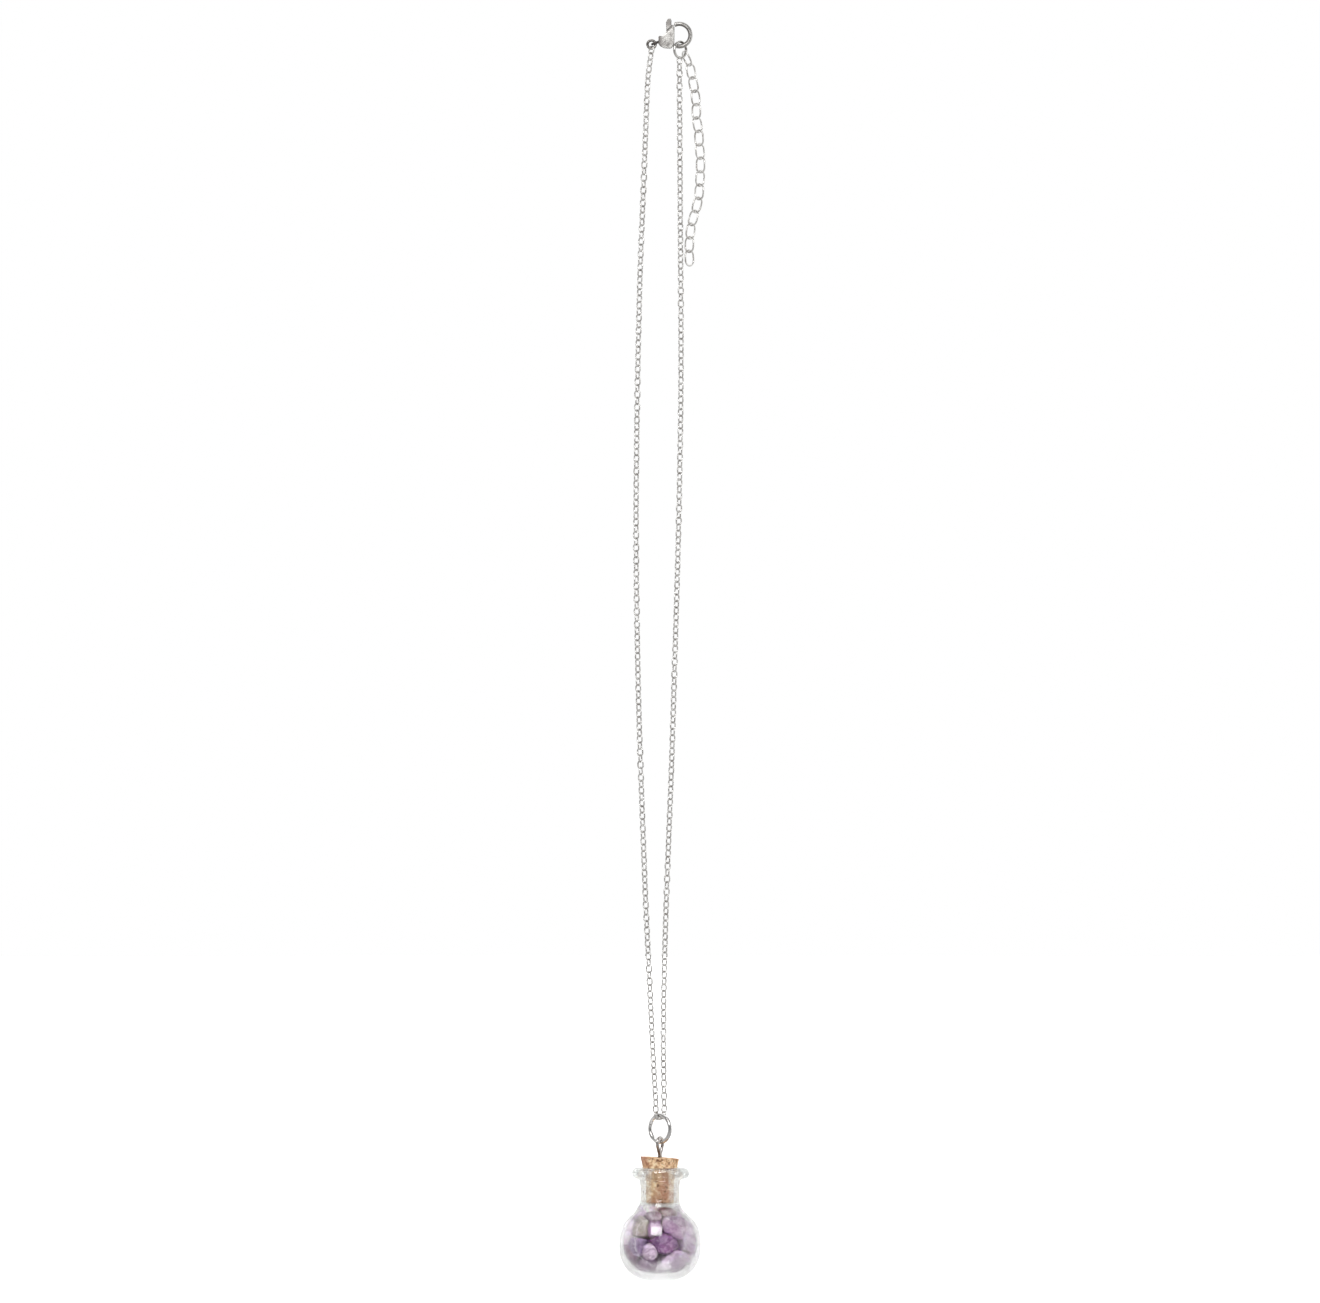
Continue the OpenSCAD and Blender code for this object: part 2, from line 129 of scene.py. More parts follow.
def noise(tree, place, scale, detail, roughness=0.5, distortion=0):
    """A cloudy pattern with about as many clouds to the metre as its scale"""
    node = wire_up(tree, "ShaderNodeTexNoise", {
        "Vector": place, "Scale": scale, "Detail": detail, "Roughness": roughness,
        "Distortion": distortion})
    return node.outputs["Fac"]


def mixed(tree, share, first, second, blend="MIX"):
    """Two colours mixed by a share of the second; each is a socket or three numbers"""
    node = wire_up(tree, "ShaderNodeMix", {"Factor": share}, data_type="RGBA", blend_type=blend)
    colour_sockets = node.inputs[6], node.inputs[7]
    for socket, colour in zip(colour_sockets, (first, second)):
        if isinstance(colour, tuple):
            socket.default_value = (*colour, 1)
        else:
            tree.links.new(colour, socket)
    return node.outputs[2]


def bumped(tree, height, strength, distance):
    """The normal of a surface with this relief"""
    node = wire_up(tree, "ShaderNodeBump", {
        "Height": height, "Strength": strength, "Distance": distance})
    return node.outputs["Normal"]


def ramp(tree, factor, stops):
    """Colour ramp; stops are (place, colour) with a grey given as one number"""
    node = wire_up(tree, "ShaderNodeValToRGB", {"Fac": factor})
    elements = node.color_ramp.elements
    while len(elements) > 1:
        elements.remove(elements[-1])
    for i, (place, colour) in enumerate(stops):
        element = elements[0] if i == 0 else elements.new(place)
        element.position = place
        element.color = (*colour, 1) if isinstance(colour, tuple) else (colour, colour, colour, 1)
    return node.outputs["Color"]


# What each node group puts out, and the shader's socket that takes it
LOOK = (("Color", "Color", "Base Color"), ("Roughness", "Float", "Roughness"),
        ("Normal", "Vector", "Normal"))


def make_group(name, inputs):
    """Shader node group with named inputs (name, kind, value) that puts out a look"""
    group = bpy.data.node_groups.new(name, "ShaderNodeTree")
    for title, kind, value in inputs:
        socket = group.interface.new_socket(title, in_out="INPUT", socket_type="NodeSocket" + kind)
        socket.default_value = value
    for title, kind, taker in LOOK:
        group.interface.new_socket(title, in_out="OUTPUT", socket_type="NodeSocket" + kind)
    return group, group.nodes.new("NodeGroupInput").outputs


def finish_group(group, *values):
    """Puts out the group's colour, roughness and normal"""
    out = group.nodes.new("NodeGroupOutput")
    for (title, kind, taker), value in zip(LOOK, values):
        group.links.new(value, out.inputs[title])


def with_look(name, group, values):
    """A new material with a node group's look, and its Principled shader"""
    material = bpy.data.materials.new(name)
    tree, shader = tree_of(material)
    look = wire_up(tree, "ShaderNodeGroup", values, node_tree=group)
    for title, kind, taker in LOOK:
        tree.links.new(look.outputs[title], shader.inputs[taker])
    return material, shader


# Plated metal is bright, with soft cloudy patches of tarnish and hair scratches; a mask can also darken it
# towards the dull tone, which the clasp uses for painted shade
tarnish_and_shade, given = make_group("tarnish_and_shade", [
    ("Clean", "Color", (0.8, 0.79, 0.77, 1)), ("Dull", "Color", (0.3, 0.28, 0.26, 1)),
    ("Patches", "Float", 900.0), ("Amount", "Float", 0.5), ("Roughness", "Float", 0.2),
    ("Darkening", "Float", 0.0)])
place = wire_up(tarnish_and_shade, "ShaderNodeTexCoord").outputs["Object"]
patches = between(tarnish_and_shade, noise(tarnish_and_shade, place, given["Patches"], 3), 0.42, 0.68)
patchy = combine(tarnish_and_shade, patches, given["Amount"], "MULTIPLY")
dulled = combine(tarnish_and_shade, patchy, given["Darkening"], "MAXIMUM")
rough = wire_up(tarnish_and_shade, "ShaderNodeMath", {0: dulled, 1: 0.25, 2: given["Roughness"]},
                operation="MULTIPLY_ADD")
scratches = noise(tarnish_and_shade, place, 2200, 2)
finish_group(tarnish_and_shade, mixed(tarnish_and_shade, dulled, given["Clean"], given["Dull"]), rough.outputs[0],
             bumped(tarnish_and_shade, scratches, 0.025, 0.04 * MM))


def plated(name, clean, dull, amount, roughness, patches=900.0):
    """Plated metal; amount is how dull its patches are, and more patches are smaller"""
    material, shader = with_look(name, tarnish_and_shade, {
        "Clean": (*clean, 1), "Dull": (*dull, 1), "Patches": patches, "Amount": amount,
        "Roughness": roughness})
    shader.inputs["Metallic"].default_value = 1
    return material


def finish_with(piece, material, slot):
    """Gives a piece its only material; slot is not used"""
    piece.data.materials.clear()
    piece.data.materials.append(material)


wire_silver = plated("silver_plated_wire", (0.72, 0.71, 0.69), (0.3, 0.27, 0.25), 0.6, 0.28)
dark_silver = plated("silver_plated_jump_ring", (0.56, 0.55, 0.53), (0.17, 0.15, 0.14), 0.8, 0.22)
# The tail ring's silver is painted dark for the shade it hangs in; its patches are tarnish
tarnished_shaded_silver = plated("tarnished_shaded_jump_ring", (0.38, 0.36, 0.34), (0.07, 0.06, 0.055), 0.9, 0.26)
bright_silver = plated("silver_plated_bottle_ring", (0.82, 0.81, 0.8), (0.28, 0.26, 0.25), 0.75, 0.16,
                       500.0)
clasp_ring = bent_ring("tail_ring", 0.925 * MM, RING_WIRE, (-1.95 * MM, 0, 0.35 * MM), 0, 200)
end_ring = bent_ring("closing_ring", END_RING_R, RING_WIRE, END_RING_AT, END_RING_YAW, 250)
pendant_ring = bent_ring("bottle_ring", 3.1 * MM, 1 * MM, (0, 0, -249.0 * MM), -43, 160)
for ring, node, body, silver, slot in (
        (clasp_ring, "clasp_ring", "necklace", tarnished_shaded_silver, "clasp_metal"),
        (end_ring, "end_ring", "necklace", dark_silver, "ring_metal"),
        (pendant_ring, "pendant_ring", "ring", bright_silver, "ring_metal")):
    finish_with(ring, silver, slot)
    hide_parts(node)
    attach(ring, body)

# Lobster clasp. The body is one casting with a round hook and a slot between two
# cheeks; the trigger turns on a rivet in the slot. Its edges are softened all over,
# as tumbling after casting leaves them.
HOOK_AT = Vector((4.4, 0, 2.5)) * MM
# The tip of the hook: what lies right of and above these, and the angles that it spans
TIP_LEFT, TIP_LOW = 3.2 * MM, 4.4 * MM
TIP_FROM, TIP_TO = math.radians(60), math.radians(108)
TIP_TURN = math.radians(5.5)


def soften(piece, grain, rounds):
    """Makes the faces of the active piece even in size, then wears its edges round"""
    remesh = piece.modifiers.new("even faces", "REMESH")
    remesh.mode, remesh.voxel_size, remesh.use_smooth_shade = "VOXEL", grain, True
    wear = piece.modifiers.new("soft edges", "SMOOTH")
    wear.factor, wear.iterations = 0.5, rounds
    for modifier in ("even faces", "soft edges"):
        bpy.ops.object.modifier_apply(modifier=modifier)


def softened(node, name, grain, rounds):
    """A copy of a solid with its edges rounded off by about the grain times the rounds"""
    piece = nodes[node].copy()
    piece.data = nodes[node].data.copy()
    for key in list(piece.keys()):
        del piece[key]
    piece.parent = None
    piece.name = name
    bpy.context.scene.collection.objects.link(piece)
    pick(piece)
    bpy.ops.object.mode_set(mode="EDIT")
    bpy.ops.mesh.select_all(action="SELECT")
    bpy.ops.mesh.remove_doubles(threshold=0.002 * MM)
    bpy.ops.object.mode_set(mode="OBJECT")
    soften(piece, grain, rounds)
    return piece


def band(tree, value, clear, full, amount):
    """A mask that grows from nothing at clear to amount at full, in millimetres"""
    return between(tree, value, clear * MM, full * MM, most=amount)


def darken_where(tree, mask):
    """Darkens a plated material towards its dull tone where the mask is above nothing"""
    wear = next(node for node in tree.nodes if node.type == "GROUP")
    tree.links.new(mask, wear.inputs["Darkening"])


clasp_silver = plated("silver_plated_casting", (0.5, 0.49, 0.47), (0.1, 0.085, 0.08), 0.6, 0.32, 700.0)
tree = clasp_silver.node_tree
place = wire_up(tree, "ShaderNodeTexCoord").outputs["Object"]
axes = wire_up(tree, "ShaderNodeSeparateXYZ", {"Vector": place}).outputs
from_hook = wire_up(tree, "ShaderNodeVectorMath", {0: place, 1: HOOK_AT}, operation="SUBTRACT")
in_plane = wire_up(tree, "ShaderNodeVectorMath", {0: from_hook.outputs[0], 1: (1, 0, 1)},
                   operation="MULTIPLY")
around_hook = wire_up(tree, "ShaderNodeVectorMath", {0: in_plane.outputs[0]}, operation="LENGTH")
# Painted shade: the tail, the tab and the inside of the hook are darkened towards the dull tone, for the
# shade and dark reflections that fall there
tail_painted_shade = band(tree, axes["X"], 1.2, -0.4, 0.95)
tab_painted_shade = combine(tree, band(tree, axes["Z"], 3.6, 5, 0.6), band(tree, axes["X"], 3.5, 3, 1), "MULTIPLY")
hook_painted_shade = combine(tree, band(tree, around_hook.outputs["Value"], 2.75, 2.35, 0.7),
                    band(tree, axes["X"], 3.4, 3.8, 1), "MULTIPLY")
darken_where(tree, combine(tree, combine(tree, tail_painted_shade, tab_painted_shade, "MAXIMUM"), hook_painted_shade, "MAXIMUM"))

clasp_body = softened("clasp_body", "clasp_casting", 0.07 * MM, 5)
# The hook's tip is drawn out towards the trigger, which closes it
for vertex in clasp_body.data.vertices:
    if vertex.co.x > TIP_LEFT and vertex.co.z > TIP_LOW:
        across, up = vertex.co.x - HOOK_AT.x, vertex.co.z - HOOK_AT.z
        angle = math.atan2(up, across)
        angle += TIP_TURN * min(max((angle - TIP_FROM) / (TIP_TO - TIP_FROM), 0), 1)
        reach = math.hypot(across, up)
        vertex.co.x = HOOK_AT.x + reach * math.cos(angle)
        vertex.co.z = HOOK_AT.z + reach * math.sin(angle)
clasp_lever = softened("clasp_lever", "clasp_trigger", 0.06 * MM, 4)
for piece, node, body in ((clasp_body, "clasp_body", "necklace"), (clasp_lever, "clasp_lever", "trigger")):
    finish_with(piece, clasp_silver, "clasp_metal")
    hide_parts(node)
    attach(piece, body)
finish_with(nodes["clasp_pin"], clasp_silver, "clasp_metal")

# Fine cable chain. Oval links of round wire, each a quarter turn from the next. One
# run of links on each side, from the clasp down to the bottle's ring; the lowest link
# lies under the ring and belongs to the left run.
LINK_LONG = 2.1 * MM
LINK_WIDE = 1.72 * MM
LINK_WIRE = 0.36 * MM
LINK_STEP = 1.47 * MM
# Height, left side across, right side across, in millimetres
ROUTE = [(-8, -2.8, 4.5), (-20, -3.3, 4.55), (-35, -3.9, 4.65), (-50, -4.5, 4.75), (-65, -4.9, 4.85),
         (-80, -5.2, 4.8), (-95, -5.4, 4.6), (-110, -5.5, 4.3), (-125, -5.4, 3.9), (-140, -5.15, 3.45),
         (-155, -4.8, 3), (-170, -4.3, 2.5), (-185, -3.75, 1.9), (-200, -3.15, 1.35), (-215, -2.4, 0.95),
         (-230, -1.7, 0.8)]
LEFT_TOP = Vector((-1.95, 0.1, -0.95)) * MM
RIGHT_TOP = Vector((4.5, 0, -3.4)) * MM
# The turn under the ring, and how the sides swing round to it over their last stretch
TURN_Z = -246.9 * MM
TURN_YAW = math.radians(47)
ARM_OUT = 1.42
SWING_FROM, SWING_OVER = -205, 37.7
# First links beside the turn: distance from its middle, height above it, in millimetres
ARM = [(1.28, 0.95), (ARM_OUT, 2.4), (ARM_OUT, 4.2)]
LOWEST_UP, LOWEST_ROLL = 0.2 * MM, 70
# Links roll a little to and fro along the chain: how far in degrees, and two slow waves
SWAY, SWAY_WAVES = 6, (0.55, 0.21)


def choose_points(piece, chosen):
    """Opens a piece for editing with its chosen vertices selected; places are in millimetres"""
    pick(piece)
    bpy.ops.object.mode_set(mode="EDIT")
    bpy.ops.mesh.select_mode(type="VERT")
    bpy.ops.mesh.select_all(action="DESELECT")
    bpy.ops.object.mode_set(mode="OBJECT")
    for vertex in piece.data.vertices:
        vertex.select = chosen(vertex.co / MM)
    bpy.ops.object.mode_set(mode="EDIT")


def oval_link(name, long, wide, wire, steps, sides):
    """One link, upright and facing along Y"""
    bpy.ops.mesh.primitive_torus_add(
        major_segments=steps, minor_segments=sides, major_radius=(wide - wire) / 2,
        minor_radius=wire / 2, rotation=(math.pi / 2, 0, 0))
    link = bpy.context.object
    link.name = name
    link.data.transform(Matrix.Rotation(math.pi / steps, 4, "Z"))
    apply_place(link)
    for side in (1, -1):
        choose_points(link, lambda at: at.z * side > 0)
        bpy.ops.transform.translate(value=(0, 0, side * (long - wide) / 2))
        bpy.ops.object.mode_set(mode="OBJECT")
    smooth(link, 80)
    return link


def lay_links(name, link, seats):
    """Joined copies of a link at (middle, direction, roll), the last in degrees"""
    copies = []
    for middle, direction, roll in seats:
        along = direction.normalized()
        across = Vector((0, 1, 0)).cross(along)
        if across.length < 0.1:
            across = Vector((1, 0, 0))
        across.normalize()
        turn = Matrix((across, along.cross(across), along)).transposed().to_4x4()
        copy = link.copy()
        copy.data = link.data.copy()
        copy.data.transform(Matrix.Translation(middle) @ turn @ Matrix.Rotation(math.radians(roll), 4, "Z"))
        bpy.context.scene.collection.objects.link(copy)
        copies.append(copy)
    pick(copies[0])
    for copy in copies:
        copy.select_set(True)
    bpy.ops.object.join()
    piece = bpy.context.object
    piece.name = piece.data.name = name
    return piece


def smooth_path(points, steps):
    """Points on one smooth curve through the given ones"""
    path = []
    for i in range(len(points) - 1):
        a, b = points[max(i - 1, 0)], points[i]
        c, d = points[i + 1], points[min(i + 2, len(points) - 1)]
        for k in range(steps):
            u = k / steps
            path.append(0.5 * (2 * b + (c - a) * u + (2 * a - 5 * b + 4 * c - d) * u ** 2
                               + (3 * b - a - 3 * c + d) * u ** 3))
    return path + [points[-1]]


def even_seats(path, step, first_roll):
    """Middles of links a step apart along a path, stretched a hair to end on its end"""
    lengths = [0.0]
    for a, b in zip(path, path[1:]):
        lengths.append(lengths[-1] + (b - a).length)
    count = round(lengths[-1] / step)
    seats, k = [], 0
    for i in range(count + 1):
        want = lengths[-1] * i / count
        while k < len(path) - 2 and lengths[k + 1] < want:
            k += 1
        share = (want - lengths[k]) / (lengths[k + 1] - lengths[k])
        sway = sum(SWAY * math.sin(i * wave) for wave in SWAY_WAVES)
        roll = first_roll + (90 if i % 2 else 0) + sway
        seats.append((path[k].lerp(path[k + 1], share), path[k + 1] - path[k], roll))
    return seats


fine_link = oval_link("fine_link", LINK_LONG, LINK_WIDE, LINK_WIRE, 12, 5)
arm = Vector((math.cos(TURN_YAW), math.sin(TURN_YAW), 0))
for side, top, name, node, first_roll in (
        (-1, LEFT_TOP, "fine_chain_left", "chain_left", 38),
        (1, RIGHT_TOP, "fine_chain_right", "chain_right", -40)):
    feet = [side * arm * away * MM + Vector((0, 0, TURN_Z + up * MM)) for away, up in ARM]
    points = [top]
    for height, left, right in ROUTE:
        share = min(max((SWING_FROM - height) / SWING_OVER, 0), 1)
        depth = side * share * ARM_OUT * math.sin(TURN_YAW)
        points.append(Vector(((left if side < 0 else right), depth, height)) * MM)
    seats = even_seats(smooth_path(points + feet[::-1], 8), LINK_STEP, first_roll)
    if node == "chain_left":
        seats.append((Vector((0, 0, TURN_Z + LOWEST_UP)), arm, LOWEST_ROLL))
    piece = lay_links(name, fine_link, seats)
    finish_with(piece, wire_silver, "fine_chain")
    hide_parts(node)
    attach(piece, "necklace")
bpy.data.objects.remove(fine_link)

# Extension chain. Longer oval links of heavier wire, hooked on the clasp's closing
# ring and hanging free, each rolled a quarter turn from the next.
LONG_LINK = (4 * MM, 3 * MM, 0.4 * MM)
EXT_PITCH = 3.1 * MM
# Degrees that each link leans to the right of straight down
EXT_LEAN = [26, 10, 12, 6, 0, 10, 3, 5, 0, -4, -3, -16, -16, -8, -2, 2]
EXT_FIRST_ROLL, EXT_ROLLS = -62, (-45, 45)
# Where the first link hangs on the ring, and how far its end reaches up past the wire
EXT_SEAT = math.radians(-35)
EXT_LAP = 0.55 * MM


def downwards(lean):
    """The way down for a link that leans this many degrees"""
    return Vector((math.sin(math.radians(lean)), 0, -math.cos(math.radians(lean))))


long_link = oval_link("long_link", *LONG_LINK, 36, 12)
ring_yaw = math.radians(END_RING_YAW)
joint = END_RING_AT + END_RING_R * Vector((
    math.cos(EXT_SEAT) * math.cos(ring_yaw), math.cos(EXT_SEAT) * math.sin(ring_yaw), math.sin(EXT_SEAT)))
joint -= EXT_LAP * downwards(EXT_LEAN[0])
seats = []
for i, lean in enumerate(EXT_LEAN):
    way = downwards(lean)
    seats.append((joint + way * EXT_PITCH / 2, -way, EXT_FIRST_ROLL if i == 0 else EXT_ROLLS[i % 2]))
    joint = joint + way * EXT_PITCH
extension = lay_links("extension_links", long_link, seats)
bpy.data.objects.remove(long_link)
finish_with(extension, wire_silver, "ring_metal")
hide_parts("extension_chain")
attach(extension, "necklace")

# Screw eye. Steel wire bent to an eye, with its shank screwed and glued into the cork.
# Its solid has the right shape and stays; its neck is darker at the left, low down.
eye_steel = plated("screw_eye_steel", (0.6, 0.57, 0.55), (0.1, 0.07, 0.06), 0.7, 0.24)
tree = eye_steel.node_tree
place = wire_up(tree, "ShaderNodeTexCoord").outputs["Object"]
axes = wire_up(tree, "ShaderNodeSeparateXYZ", {"Vector": place}).outputs
darken_where(tree, combine(tree, band(tree, axes["Z"], -252.6, -254.2, 0.85),
                       band(tree, axes["X"], 0.35, -0.1, 1), "MULTIPLY"))
finish_with(nodes["screw_eye"], eye_steel, "ring_metal")

# Cork. Natural bark cork, squeezed by the neck and swollen above it, cut off a little
# aslant at the top. Dark pores and redder grain run all through it.
CORK_Z = -255.65 * MM
CORK_CUT = math.radians(3.3)
# Radius and height below the top, in millimetres
CORK = [(2.7, -10.6), (2.95, -10.5), (3.2, -10.2), (3.2, -8), (3.2, -6), (3.2, -4.6), (3.45, -3.8),
        (3.82, -2.95), (3.92, -2.75), (4.1, -1.9), (4.27, -1), (4.42, -0.25), (4.5, 0.35)]
# Heights between which the squeezed part swells into the head
NECK_TOP, HEAD_FOOT = CORK_Z - 3.6 * MM, CORK_Z - 2.6 * MM


def turned(name, rows, base, steps):
    """A solid turned from (radius, height) rows: a disc pushed up and resized row by row"""
    radius, height = rows[0]
    bpy.ops.object.select_all(action="DESELECT")
    bpy.ops.mesh.primitive_circle_add(
        vertices=steps, radius=radius * MM, fill_type="NGON", location=(0, 0, base + height * MM))
    piece = bpy.context.object
    piece.name = name
    apply_place(piece)
    bpy.ops.object.mode_set(mode="EDIT")
    bpy.ops.mesh.select_mode(type="FACE")
    bpy.ops.mesh.select_all(action="SELECT")
    for new_radius, new_height in rows[1:]:
        bpy.ops.mesh.extrude_region_move(
            TRANSFORM_OT_translate={"value": (0, 0, (new_height - height) * MM)})
        bpy.ops.transform.resize(value=(new_radius / radius, new_radius / radius, 1),
                                 center_override=(0, 0, base + new_height * MM))
        radius, height = new_radius, new_height
    bpy.ops.mesh.select_all(action="SELECT")
    bpy.ops.mesh.normals_make_consistent(inside=False)
    bpy.ops.object.mode_set(mode="OBJECT")
    return piece


cork = turned("cork_stopper", CORK, CORK_Z, 64)
bpy.ops.object.mode_set(mode="EDIT")
bpy.ops.mesh.select_all(action="SELECT")
bpy.ops.mesh.bisect(plane_co=(0, 0, CORK_Z), plane_no=(math.sin(CORK_CUT), 0, math.cos(CORK_CUT)),
                    use_fill=True, clear_outer=True)
bpy.ops.object.mode_set(mode="OBJECT")
soften(cork, 0.16 * MM, 2)
crumb = bpy.data.textures.new("cork_crumb", "CLOUDS")
crumb.noise_scale, crumb.noise_depth = 0.9 * MM, 3
pitted = cork.modifiers.new("pitted bark", "DISPLACE")
pitted.texture, pitted.strength, pitted.mid_level = crumb, -0.16 * MM, 0.35
pitted.texture_coords = "LOCAL"
bpy.ops.object.modifier_apply(modifier="pitted bark")

cork_bark = bpy.data.materials.new("natural_cork")
tree, shader = tree_of(cork_bark)
place = wire_up(tree, "ShaderNodeTexCoord").outputs["Object"]
grain = noise(tree, place, 880, 6, 0.75)
base_tone = ramp(tree, grain, [(0.33, (0.2, 0.09, 0.045)), (0.43, (0.56, 0.31, 0.16)),
                               (0.52, (0.88, 0.6, 0.36)), (0.62, (1, 0.84, 0.6))])
blush = between(tree, noise(tree, place, 190, 2), 0.46, 0.66, most=0.7)
with_blush = mixed(tree, blush, base_tone, (0.46, 0.18, 0.12))
# A pore is where this is nothing
pores = between(tree, noise(tree, place, 1500, 4, distortion=0.5), 0.33, 0.42)
with_pores = mixed(tree, pores, (0.2, 0.085, 0.045), with_blush)
# Painted shade: the part squeezed into the neck is made darker than the swollen head, for the light that
# the glass around it holds back
height = wire_up(tree, "ShaderNodeSeparateXYZ", {"Vector": place}).outputs["Z"]
neck_painted_shade = ramp(tree, between(tree, height, NECK_TOP, HEAD_FOOT),
               [(0, (0.69, 0.68, 0.68)), (1, (1, 1, 1))])
tree.links.new(mixed(tree, 1, with_pores, neck_painted_shade, "MULTIPLY"), shader.inputs["Base Color"])
shader.inputs["Roughness"].default_value = 0.85
relief = combine(tree, pores, grain, "ADD")
tree.links.new(bumped(tree, relief, 0.5, 0.12 * MM), shader.inputs["Normal"])
finish_with(cork, cork_bark, "cork")
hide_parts("cork")
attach(cork, "bottle")

# Bottle. Clear glass blown round, with a short neck, a rolled lip and a thick, slightly
# flattened foot. The stones and the cork show through it.
BASE_Z = -284.05 * MM
BOTTLE_TALL = 26.1 * MM
# Radii and heights of the middles of the outside's arcs, in millimetres, then the inside's
BULB_R, BULB_C, FOOT_R = 9.44, 8.9, 7.4
LIP_OUT, LIP_C, LIP_R = 5.2, 24.8, 1.3
CAVE_R, CAVE_FOOT_R, CAVE_FOOT_C, CAVE_FLOOR = 8.55, 6.5, 8.3, 1.8
BORE_R = 3.25
HUB_R = 0.4
# The shoulder slopes more than a ball and runs up into the neck. Radius, height, in millimetres
SHOULDER = [(8.7, 12.6), (8.36, 13.25), (7.92, 13.85), (7.44, 14.4), (6.92, 14.95), (6.36, 15.45),
            (5.82, 15.95), (5.36, 16.45), (5, 16.95), (4.77, 17.5), (4.64, 18.1), (4.57, 18.8)]
NECK = [(4.55, 20), (4.55, 21.6), (4.63, 22.8), (4.9, 23.35)]
# The flare inside the lip and the bore down from it, then the same shoulder inside
FLARE = [(4.6, 26.02), (4.45, 25.85), (4.1, 25.3), (3.75, 24.7), (3.4, 23.7), (BORE_R, 22.9),
         (BORE_R, 20), (BORE_R, 19.3)]
INNER_SHOULDER = [(3.3, 18.75), (3.55, 17.94), (3.86, 17.22), (4.3, 16.56), (4.85, 16.02), (5.44, 15.55),
                  (5.99, 15.04), (6.53, 14.52), (6.98, 13.94), (7.35, 13.36), (7.66, 12.77)]
ROW_LEAST = 0.02
LIP_Z, CORNER_Z = BASE_Z / MM + LIP_C, BASE_Z / MM + 16.9


def arc(centre_r, centre_h, radius, start, end, count):
    """(radius, height) rows on an arc, angles in degrees up from straight out"""
    rows = []
    for i in range(count):
        a = math.radians(start + (end - start) * i / (count - 1))
        rows.append((centre_r + radius * math.cos(a), centre_h + radius * math.sin(a)))
    return rows


def nudge(piece, chosen, offset, reach):
    """Moves the chosen vertices of a piece and draws what lies near along with them"""
    choose_points(piece, chosen)
    bpy.ops.transform.translate(
        value=Vector(offset) * MM, use_proportional_edit=True, proportional_size=reach * MM,
        proportional_edit_falloff="SMOOTH", use_proportional_connected=True)
    bpy.ops.object.mode_set(mode="OBJECT")


glass_rows = (
    [(HUB_R, 0), (1.4, 0)] + arc(BULB_R - FOOT_R, FOOT_R, FOOT_R, -90, 0, 20)
    + arc(0, BULB_C, BULB_R, 0, 21, 8) + SHOULDER + NECK
    + arc(LIP_OUT, LIP_C, LIP_R, -70, 110, 14) + FLARE + INNER_SHOULDER
    + arc(0, BULB_C, CAVE_R, 23, 0, 8)
    + arc(CAVE_R - CAVE_FOOT_R, CAVE_FOOT_C, CAVE_FOOT_R, 0, -90, 18)
    + [(1.2, CAVE_FLOOR), (HUB_R, CAVE_FLOOR)])
clean_rows = [glass_rows[0]]
for row in glass_rows[1:]:
    if math.dist(row, clean_rows[-1]) > ROW_LEAST:
        clean_rows.append(row)
bottle = turned("glass_bottle", clean_rows, BASE_Z, 96)
# Blown by hand: the lip is longer at the right, and the neck meets the bulb at a corner at the left
nudge(bottle, lambda at: at.x > 6.3 and abs(at.z - LIP_Z) < 0.6, (0.3, 0, -0.1), 2.2)
nudge(bottle, lambda at: at.x < -4.8 and abs(at.z - CORNER_Z) < 0.3, (-0.28, 0, 0), 1.3)
smooth(bottle, 50)

clear_glass = bpy.data.materials.new("clear_blown_glass")
tree, shader = tree_of(clear_glass)
place = wire_up(tree, "ShaderNodeTexCoord").outputs["Object"]
ripple = noise(tree, place, 90, 1)
# The thick neck is a little greyer than the thin bulb
height = wire_up(tree, "ShaderNodeSeparateXYZ", {"Vector": place}).outputs["Z"]
up_share = between(tree, height, BASE_Z, BASE_Z + BOTTLE_TALL)
greying = ramp(tree, up_share,
               [(0.1, (1, 1, 1)), (0.45, (0.99, 0.995, 0.99)), (0.6, (0.94, 0.945, 0.935)),
                (0.72, (0.89, 0.9, 0.88)), (0.9, (0.915, 0.92, 0.905))])
streaks = ramp(tree, ripple, [(0.3, (0.97, 0.985, 0.975)), (0.7, (1, 1, 1))])
tree.links.new(mixed(tree, 1, greying, streaks, "MULTIPLY"), shader.inputs["Base Color"])
tree.links.new(bumped(tree, ripple, 0.2, 0.4 * MM), shader.inputs["Normal"])
shader.inputs["Roughness"].default_value = 0.01
shader.inputs["IOR"].default_value = 1.5
shader.inputs["Transmission Weight"].default_value = 1
# Light reaches the stones straight through the wall, and a ray caught in the glass gets out
# after a few turns; the wall also lets a share of the view straight through, more at the foot
light_path = wire_up(tree, "ShaderNodeLightPath").outputs
passing_tone = mixed(tree, light_path["Is Shadow Ray"], (0.99, 1, 0.99), (0.7, 0.71, 0.7))
passing = wire_up(tree, "ShaderNodeBsdfTransparent", {"Color": passing_tone})
caught = combine(tree, light_path["Ray Depth"], 5.5, "GREATER_THAN")
straight = combine(tree, light_path["Is Shadow Ray"], caught, "MAXIMUM")
clear_share = ramp(tree, up_share, [(0.01, 0.6), (0.11, 0.47), (0.55, 0.47), (0.72, 0.38)])
share = between(tree, straight, 0, 1, least=clear_share)
glass_mix = wire_up(tree, "ShaderNodeMixShader", {0: share, 1: shader.outputs[0], 2: passing.outputs[0]})
tree.links.new(glass_mix.outputs[0], tree.nodes["Material Output"].inputs["Surface"])
finish_with(bottle, clear_glass, "glass")
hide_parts("bottle")
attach(bottle, "bottle")

